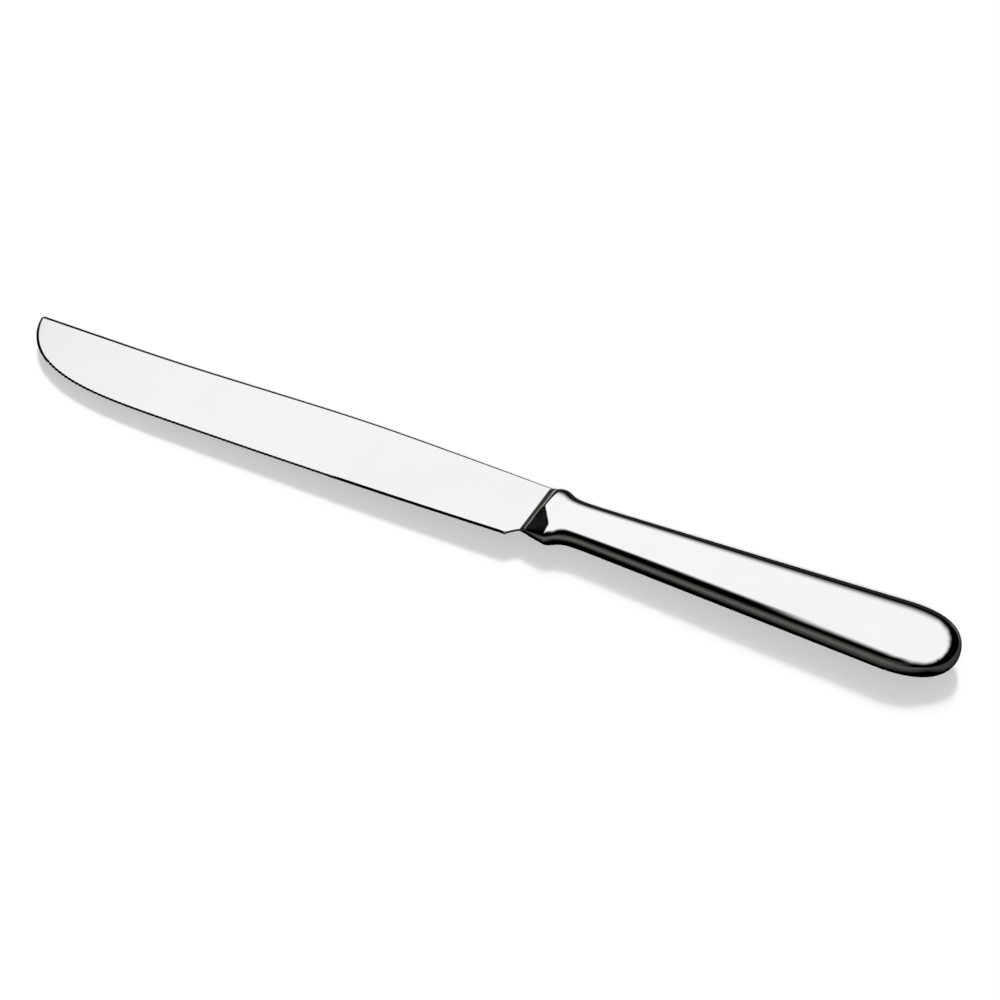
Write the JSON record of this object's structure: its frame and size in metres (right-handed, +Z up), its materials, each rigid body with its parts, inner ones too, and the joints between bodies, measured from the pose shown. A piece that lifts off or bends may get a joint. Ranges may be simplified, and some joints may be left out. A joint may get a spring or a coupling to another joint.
{
  "type": "steak knife",
  "caption": "Polished steak knife with a rounded, finely toothed blade, a slim bolster and a plain hollow handle that widens to a round butt; cuts meat at the table.",
  "frame": {"origin": "middle of the bottom of the knife's box, on the ground under the lower face of the handle", "axes": "+X from the tip towards the butt, -Y towards the cutting edge, +Z up from the ground the knife lies on"},
  "size_m": [0.2359, 0.0216, 0.0099],
  "materials": {
    "blade_steel": "mirror-polished stainless steel",
    "handle_steel": "mirror-polished stainless steel",
    "braze": "silver braze ground flush and polished",
    "solder": "tin-silver solder, a little dulled",
    "cement": "cast resin cement, matt"
  },
  "bodies": {
    "root": {"blade": "blade_steel", "handle_shell_upper": "handle_steel", "handle_shell_lower": "handle_steel", "seam_braze": "braze", "mouth_solder": "solder", "tang_cement": "cement"}
  },
  "joints": []
}
